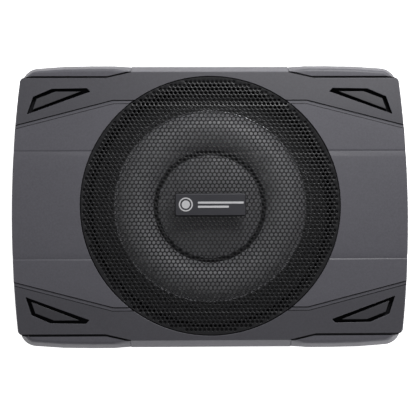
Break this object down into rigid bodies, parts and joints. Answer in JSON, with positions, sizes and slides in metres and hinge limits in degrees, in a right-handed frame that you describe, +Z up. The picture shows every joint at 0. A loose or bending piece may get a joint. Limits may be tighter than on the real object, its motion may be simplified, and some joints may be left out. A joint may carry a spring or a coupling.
{
  "type": "powered car subwoofer",
  "caption": "Flat under-seat powered subwoofer: ribbed case, round perforated grille over a shallow driver, and an end panel of knobs, switches and sockets.",
  "frame": {"origin": "on the floor, under the centre of the case, at the undersides of the feet", "axes": "+Z up through the grille, +X along the length of the case towards the control panel, +Y across it"},
  "size_m": [0.346, 0.249, 0.075],
  "materials": {
    "case_plastic": "matte",
    "grille_black": "satin",
    "badge_grey": "satin",
    "base_black": "matte",
    "rubber_black": "matte",
    "screw_black": "satin",
    "steel": "satin",
    "basket_black": "satin",
    "ferrite": "matte",
    "cone_paper": "matte",
    "former_film": "satin",
    "copper": "satin",
    "spider_cloth": "matte",
    "trim_grey": "satin",
    "black_plastic": "satin",
    "board_green": "satin",
    "heat_sink_metal": "satin",
    "capacitor_sleeve": "gloss",
    "transformer_tape": "satin",
    "lead_red": "satin",
    "lead_black": "satin",
    "fuse_amber": "gloss",
    "plated": "polished",
    "rca_red": "gloss",
    "rca_white": "gloss",
    "lever_white": "satin",
    "led_blue": "gloss",
    "terminal_black": "matte"
  },
  "bodies": {
    "case": {"badge": "badge_grey", "base_plate": "base_black", "base_screws": "screw_black", "basket": "basket_black", "blade_fuse": "fuse_amber", "board_screws": "steel", "board_standoffs": "steel", "bracket_nuts": "steel", "case_screws": "screw_black", "clamp_screws": "steel", "control_board": "board_green", "control_panel": "base_black", "cover_gasket": "rubber_black", "driver_gasket": "rubber_black", "driver_screws": "screw_black", "driver_terminal": "black_plastic", "filter_capacitors": "capacitor_sleeve", "front_plate": "steel", "fuse_holder": "black_plastic", "grille": "grille_black", "heat_sink": "heat_sink_metal", "high_level_socket": "black_plastic", "lower_housing": "case_plastic", "magnet": "ferrite", "main_board": "board_green", "output_inductors": "copper", "panel_screws": "screw_black", "potentiometers": "black_plastic", "power_led": "led_blue", "power_terminals": "terminal_black", "power_transistors": "black_plastic", "rca_block": "black_plastic", "rca_insert_red": "rca_red", "rca_insert_white": "rca_white", "rca_sleeves": "plated", "remote_port": "black_plastic", "rubber_feet": "rubber_black", "slide_switches": "black_plastic", "speaker_lead_negative": "lead_black", "speaker_lead_positive": "lead_red", "speaker_socket": "black_plastic", "spider": "spider_cloth", "surround": "rubber_black", "terminal_screws": "steel", "tinsel_leads": "copper", "top_cover": "case_plastic", "transformer": "transformer_tape", "transistor_clamp": "steel", "trim_ring": "trim_grey", "yoke": "steel"},
    "cone_assembly": {"cone": "cone_paper", "dust_cap": "cone_paper", "coil_former": "former_film", "voice_coil": "copper"},
    "gain_knob": {"gain_knob": "black_plastic"},
    "low_pass_knob": {"low_pass_knob": "black_plastic"},
    "bass_knob": {"bass_knob": "black_plastic"},
    "phase_lever": {"phase_lever": "lever_white"},
    "auto_on_lever": {"auto_on_lever": "lever_white"}
  },
  "joints": [
    {"name": "cone_stroke", "type": "slide", "parent": "case", "child": "cone_assembly", "axis": [0, 0, 1], "range_m": [-0.006, 0.006], "stiffness_N_per_m": 1500, "deforming": ["surround", "spider", "tinsel_leads"]},
    {"name": "gain_knob_turn", "type": "hinge", "parent": "case", "child": "gain_knob", "pos_m": [0.16, 0.046, 0.038], "axis": [1, 0, 0], "range_deg": [-150, 150]},
    {"name": "low_pass_knob_turn", "type": "hinge", "parent": "case", "child": "low_pass_knob", "pos_m": [0.16, 0.06, 0.038], "axis": [1, 0, 0], "range_deg": [-150, 150]},
    {"name": "bass_knob_turn", "type": "hinge", "parent": "case", "child": "bass_knob", "pos_m": [0.16, 0.074, 0.038], "axis": [1, 0, 0], "range_deg": [-150, 150]},
    {"name": "phase_lever_slide", "type": "slide", "parent": "case", "child": "phase_lever", "axis": [0, 1, 0], "range_m": [0, 0.004]},
    {"name": "auto_on_lever_slide", "type": "slide", "parent": "case", "child": "auto_on_lever", "axis": [0, 1, 0], "range_m": [0, 0.004]}
  ]
}
